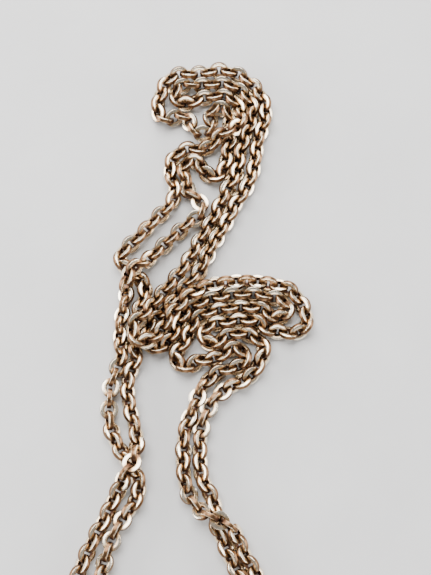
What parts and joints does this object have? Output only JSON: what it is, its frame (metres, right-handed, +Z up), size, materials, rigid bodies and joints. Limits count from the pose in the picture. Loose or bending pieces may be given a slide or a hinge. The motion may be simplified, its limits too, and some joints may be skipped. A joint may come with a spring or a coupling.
{
  "type": "eyeglasses chain strap",
  "caption": "Fine oval cable chain for eyeglasses, lying doubled and tangled, with a jump ring, lobster clasp and rubber temple loop at each end",
  "frame": {"origin": "centre of the bounding box's bottom face, on the surface that the chain lies on", "axes": "+Z up, +Y from the free ends toward the far end of the tangle, +X right"},
  "size_m": [0.0927, 0.1601, 0.0048],
  "materials": {
    "antique_gold": "antique gold, bright worn faces over dark brown recesses",
    "dark_brass": "darkened brass",
    "rubber": "matte dark rubber"
  },
  "bodies": {
    "tangle": {"chain_run_1": "antique_gold", "chain_run_2": "antique_gold", "chain_run_3": "antique_gold", "chain_run_4": "antique_gold", "chain_run_5": "antique_gold", "chain_run_6": "antique_gold"},
    "left_link_01": {"left_link_01": "antique_gold"},
    "left_link_02": {"left_link_02": "antique_gold"},
    "left_link_03": {"left_link_03": "antique_gold"},
    "left_link_04": {"left_link_04": "antique_gold"},
    "left_link_05": {"left_link_05": "antique_gold"},
    "left_link_06": {"left_link_06": "antique_gold"},
    "left_link_07": {"left_link_07": "antique_gold"},
    "left_link_08": {"left_link_08": "antique_gold"},
    "left_link_09": {"left_link_09": "antique_gold"},
    "left_link_10": {"left_link_10": "antique_gold"},
    "left_link_11": {"left_link_11": "antique_gold"},
    "left_link_12": {"left_link_12": "antique_gold"},
    "left_link_13": {"left_link_13": "antique_gold"},
    "left_link_14": {"left_link_14": "antique_gold"},
    "left_link_15": {"left_link_15": "antique_gold"},
    "left_link_16": {"left_link_16": "antique_gold"},
    "left_link_17": {"left_link_17": "antique_gold"},
    "left_link_18": {"left_link_18": "antique_gold"},
    "left_link_19": {"left_link_19": "antique_gold"},
    "left_link_20": {"left_link_20": "antique_gold"},
    "left_end_ring": {"left_end_ring": "antique_gold"},
    "left_clasp": {"left_clasp_body": "antique_gold", "left_clasp_pin": "dark_brass"},
    "left_clasp_lever": {"left_clasp_lever": "antique_gold"},
    "left_loop": {"left_ferrule": "antique_gold", "left_temple_loop": "rubber"},
    "left_slide_bead": {"left_slide_bead": "dark_brass"},
    "right_link_01": {"right_link_01": "antique_gold"},
    "right_link_02": {"right_link_02": "antique_gold"},
    "right_link_03": {"right_link_03": "antique_gold"},
    "right_link_04": {"right_link_04": "antique_gold"},
    "right_link_05": {"right_link_05": "antique_gold"},
    "right_link_06": {"right_link_06": "antique_gold"},
    "right_link_07": {"right_link_07": "antique_gold"},
    "right_link_08": {"right_link_08": "antique_gold"},
    "right_link_09": {"right_link_09": "antique_gold"},
    "right_link_10": {"right_link_10": "antique_gold"},
    "right_link_11": {"right_link_11": "antique_gold"},
    "right_link_12": {"right_link_12": "antique_gold"},
    "right_link_13": {"right_link_13": "antique_gold"},
    "right_link_14": {"right_link_14": "antique_gold"},
    "right_link_15": {"right_link_15": "antique_gold"},
    "right_link_16": {"right_link_16": "antique_gold"},
    "right_link_17": {"right_link_17": "antique_gold"},
    "right_link_18": {"right_link_18": "antique_gold"},
    "right_link_19": {"right_link_19": "antique_gold"},
    "right_link_20": {"right_link_20": "antique_gold"},
    "right_end_ring": {"right_end_ring": "antique_gold"},
    "right_clasp": {"right_clasp_body": "antique_gold", "right_clasp_pin": "dark_brass"},
    "right_clasp_lever": {"right_clasp_lever": "antique_gold"},
    "right_loop": {"right_ferrule": "antique_gold", "right_temple_loop": "rubber"},
    "right_slide_bead": {"right_slide_bead": "dark_brass"}
  },
  "joints": [
    {"name": "left_link_01_hinge", "type": "hinge", "parent": "tangle", "child": "left_link_01", "pos_m": [-0.01027, -0.00198, 0.00164], "axis": [0, 0, -1], "range_deg": [0, 6]},
    {"name": "left_link_02_hinge", "type": "hinge", "parent": "left_link_01", "child": "left_link_02", "pos_m": [-0.01113, -0.00375, 0.0014], "axis": [0, 0, -1], "range_deg": [0, 6]},
    {"name": "left_link_03_hinge", "type": "hinge", "parent": "left_link_02", "child": "left_link_03", "pos_m": [-0.012, -0.00555, 0.0014], "axis": [0, 0, -1], "range_deg": [0, 6]},
    {"name": "left_link_04_hinge", "type": "hinge", "parent": "left_link_03", "child": "left_link_04", "pos_m": [-0.01275, -0.0074, 0.0014], "axis": [0, 0, -1], "range_deg": [0, 6]},
    {"name": "left_link_05_hinge", "type": "hinge", "parent": "left_link_04", "child": "left_link_05", "pos_m": [-0.01371, -0.00916, 0.0014], "axis": [0, 0, -1], "range_deg": [0, 6]},
    {"name": "left_link_06_hinge", "type": "hinge", "parent": "left_link_05", "child": "left_link_06", "pos_m": [-0.01466, -0.01092, 0.0014], "axis": [0, 0, -1], "range_deg": [0, 6]},
    {"name": "left_link_07_hinge", "type": "hinge", "parent": "left_link_06", "child": "left_link_07", "pos_m": [-0.01551, -0.01273, 0.0014], "axis": [0, 0, -1], "range_deg": [0, 6]},
    {"name": "left_link_08_hinge", "type": "hinge", "parent": "left_link_07", "child": "left_link_08", "pos_m": [-0.01628, -0.01457, 0.0014], "axis": [0, 0, -1], "range_deg": [0, 6]},
    {"name": "left_link_09_hinge", "type": "hinge", "parent": "left_link_08", "child": "left_link_09", "pos_m": [-0.01699, -0.01644, 0.0014], "axis": [0, 0, -1], "range_deg": [0, 6]},
    {"name": "left_link_10_hinge", "type": "hinge", "parent": "left_link_09", "child": "left_link_10", "pos_m": [-0.01775, -0.01829, 0.0014], "axis": [0, 0, -1], "range_deg": [0, 6]},
    {"name": "left_link_11_hinge", "type": "hinge", "parent": "left_link_10", "child": "left_link_11", "pos_m": [-0.01861, -0.0201, 0.0014], "axis": [0, 0, -1], "range_deg": [-4, 6]},
    {"name": "left_link_12_hinge", "type": "hinge", "parent": "left_link_11", "child": "left_link_12", "pos_m": [-0.01951, -0.02188, 0.0014], "axis": [0, 0, -1], "range_deg": [-4, 6]},
    {"name": "left_link_13_hinge", "type": "hinge", "parent": "left_link_12", "child": "left_link_13", "pos_m": [-0.02042, -0.02366, 0.0014], "axis": [0, 0, -1], "range_deg": [-4, 6]},
    {"name": "left_link_14_hinge", "type": "hinge", "parent": "left_link_13", "child": "left_link_14", "pos_m": [-0.02132, -0.02545, 0.00144], "axis": [0, 0, -1], "range_deg": [-4, 6]},
    {"name": "left_link_15_hinge", "type": "hinge", "parent": "left_link_14", "child": "left_link_15", "pos_m": [-0.02222, -0.02724, 0.00147], "axis": [0, 0, -1], "range_deg": [-4, 6]},
    {"name": "left_link_16_hinge", "type": "hinge", "parent": "left_link_15", "child": "left_link_16", "pos_m": [-0.02312, -0.02902, 0.00151], "axis": [0, 0, -1], "range_deg": [-4, 6]},
    {"name": "left_link_17_hinge", "type": "hinge", "parent": "left_link_16", "child": "left_link_17", "pos_m": [-0.02401, -0.03081, 0.00155], "axis": [0, 0, -1], "range_deg": [-4, 6]},
    {"name": "left_link_18_hinge", "type": "hinge", "parent": "left_link_17", "child": "left_link_18", "pos_m": [-0.02488, -0.03262, 0.00159], "axis": [0, 0, -1], "range_deg": [-4, 6]},
    {"name": "left_link_19_hinge", "type": "hinge", "parent": "left_link_18", "child": "left_link_19", "pos_m": [-0.02572, -0.03443, 0.00162], "axis": [0, 0, -1], "range_deg": [-4, 6]},
    {"name": "left_link_20_hinge", "type": "hinge", "parent": "left_link_19", "child": "left_link_20", "pos_m": [-0.02655, -0.03625, 0.00166], "axis": [0, 0, -1], "range_deg": [-4, 6]},
    {"name": "left_end_ring_hinge", "type": "hinge", "parent": "left_link_20", "child": "left_end_ring", "pos_m": [-0.02738, -0.03807, 0.00175], "axis": [0, 0, 1], "range_deg": [-20, 20]},
    {"name": "left_clasp_hinge", "type": "hinge", "parent": "left_end_ring", "child": "left_clasp", "pos_m": [-0.02809, -0.03962, 0], "axis": [0, 0, 1], "range_deg": [-25, 25]},
    {"name": "left_clasp_lever_hinge", "type": "hinge", "parent": "left_clasp", "child": "left_clasp_lever", "pos_m": [-0.02853, -0.0448, 0.00175], "axis": [0, 0, -1], "range_deg": [0, 18], "stiffness_Nm_per_rad": 0.0001},
    {"name": "left_loop_hinge", "type": "hinge", "parent": "left_clasp", "child": "left_loop", "pos_m": [-0.0317, -0.04753, 0.00175], "axis": [0, 0, 1], "range_deg": [-25, 25]},
    {"name": "left_slide_bead_slide", "type": "slide", "parent": "left_loop", "child": "left_slide_bead", "axis": [-0.4159, -0.9094, 0], "range_m": [-0.0018, 0.0022]},
    {"name": "right_link_01_hinge", "type": "hinge", "parent": "tangle", "child": "right_link_01", "pos_m": [0.0097, -0.00958, 0.00245], "axis": [0, 0, 1], "range_deg": [0, 4]},
    {"name": "right_link_02_hinge", "type": "hinge", "parent": "right_link_01", "child": "right_link_02", "pos_m": [0.01064, -0.01115, 0.00171], "axis": [0, 0, 1], "range_deg": [0, 4]},
    {"name": "right_link_03_hinge", "type": "hinge", "parent": "right_link_02", "child": "right_link_03", "pos_m": [0.01125, -0.01301, 0.0014], "axis": [0, 0, 1], "range_deg": [0, 4]},
    {"name": "right_link_04_hinge", "type": "hinge", "parent": "right_link_03", "child": "right_link_04", "pos_m": [0.01218, -0.01478, 0.0014], "axis": [0, 0, 1], "range_deg": [0, 4]},
    {"name": "right_link_05_hinge", "type": "hinge", "parent": "right_link_04", "child": "right_link_05", "pos_m": [0.01325, -0.01647, 0.0014], "axis": [0, 0, 1], "range_deg": [0, 4]},
    {"name": "right_link_06_hinge", "type": "hinge", "parent": "right_link_05", "child": "right_link_06", "pos_m": [0.0143, -0.01817, 0.0014], "axis": [0, 0, 1], "range_deg": [0, 4]},
    {"name": "right_link_07_hinge", "type": "hinge", "parent": "right_link_06", "child": "right_link_07", "pos_m": [0.01527, -0.01992, 0.0014], "axis": [0, 0, 1], "range_deg": [0, 4]},
    {"name": "right_link_08_hinge", "type": "hinge", "parent": "right_link_07", "child": "right_link_08", "pos_m": [0.01622, -0.02168, 0.0014], "axis": [0, 0, 1], "range_deg": [0, 4]},
    {"name": "right_link_09_hinge", "type": "hinge", "parent": "right_link_08", "child": "right_link_09", "pos_m": [0.01715, -0.02345, 0.0014], "axis": [0, 0, 1], "range_deg": [0, 4]},
    {"name": "right_link_10_hinge", "type": "hinge", "parent": "right_link_09", "child": "right_link_10", "pos_m": [0.01805, -0.02524, 0.0014], "axis": [0, 0, 1], "range_deg": [0, 4]},
    {"name": "right_link_11_hinge", "type": "hinge", "parent": "right_link_10", "child": "right_link_11", "pos_m": [0.01895, -0.02703, 0.0014], "axis": [0, 0, 1], "range_deg": [-4, 4]},
    {"name": "right_link_12_hinge", "type": "hinge", "parent": "right_link_11", "child": "right_link_12", "pos_m": [0.01982, -0.02882, 0.0014], "axis": [0, 0, 1], "range_deg": [-4, 4]},
    {"name": "right_link_13_hinge", "type": "hinge", "parent": "right_link_12", "child": "right_link_13", "pos_m": [0.02068, -0.03063, 0.0014], "axis": [0, 0, 1], "range_deg": [-4, 4]},
    {"name": "right_link_14_hinge", "type": "hinge", "parent": "right_link_13", "child": "right_link_14", "pos_m": [0.02153, -0.03244, 0.00144], "axis": [0, 0, 1], "range_deg": [-4, 4]},
    {"name": "right_link_15_hinge", "type": "hinge", "parent": "right_link_14", "child": "right_link_15", "pos_m": [0.02236, -0.03426, 0.00147], "axis": [0, 0, 1], "range_deg": [-4, 4]},
    {"name": "right_link_16_hinge", "type": "hinge", "parent": "right_link_15", "child": "right_link_16", "pos_m": [0.0232, -0.03608, 0.00151], "axis": [0, 0, 1], "range_deg": [-4, 4]},
    {"name": "right_link_17_hinge", "type": "hinge", "parent": "right_link_16", "child": "right_link_17", "pos_m": [0.02404, -0.03789, 0.00155], "axis": [0, 0, 1], "range_deg": [-4, 4]},
    {"name": "right_link_18_hinge", "type": "hinge", "parent": "right_link_17", "child": "right_link_18", "pos_m": [0.02488, -0.0397, 0.00159], "axis": [0, 0, 1], "range_deg": [-4, 4]},
    {"name": "right_link_19_hinge", "type": "hinge", "parent": "right_link_18", "child": "right_link_19", "pos_m": [0.02573, -0.04152, 0.00162], "axis": [0, 0, 1], "range_deg": [-4, 4]},
    {"name": "right_link_20_hinge", "type": "hinge", "parent": "right_link_19", "child": "right_link_20", "pos_m": [0.02657, -0.04333, 0.00166], "axis": [0, 0, 1], "range_deg": [-4, 4]},
    {"name": "right_end_ring_hinge", "type": "hinge", "parent": "right_link_20", "child": "right_end_ring", "pos_m": [0.02742, -0.04514, 0.00175], "axis": [0, 0, -1], "range_deg": [-20, 20]},
    {"name": "right_clasp_hinge", "type": "hinge", "parent": "right_end_ring", "child": "right_clasp", "pos_m": [0.02814, -0.04668, 0], "axis": [0, 0, -1], "range_deg": [-25, 25]},
    {"name": "right_clasp_lever_hinge", "type": "hinge", "parent": "right_clasp", "child": "right_clasp_lever", "pos_m": [0.0318, -0.05038, 0.00175], "axis": [0, 0, -1], "range_deg": [0, 18], "stiffness_Nm_per_rad": 0.0001},
    {"name": "right_loop_hinge", "type": "hinge", "parent": "right_clasp", "child": "right_loop", "pos_m": [0.03182, -0.05456, 0.00175], "axis": [0, 0, -1], "range_deg": [-25, 25]},
    {"name": "right_slide_bead_slide", "type": "slide", "parent": "right_loop", "child": "right_slide_bead", "axis": [0.4233, -0.906, 0], "range_m": [-0.0018, 0.0022]}
  ]
}
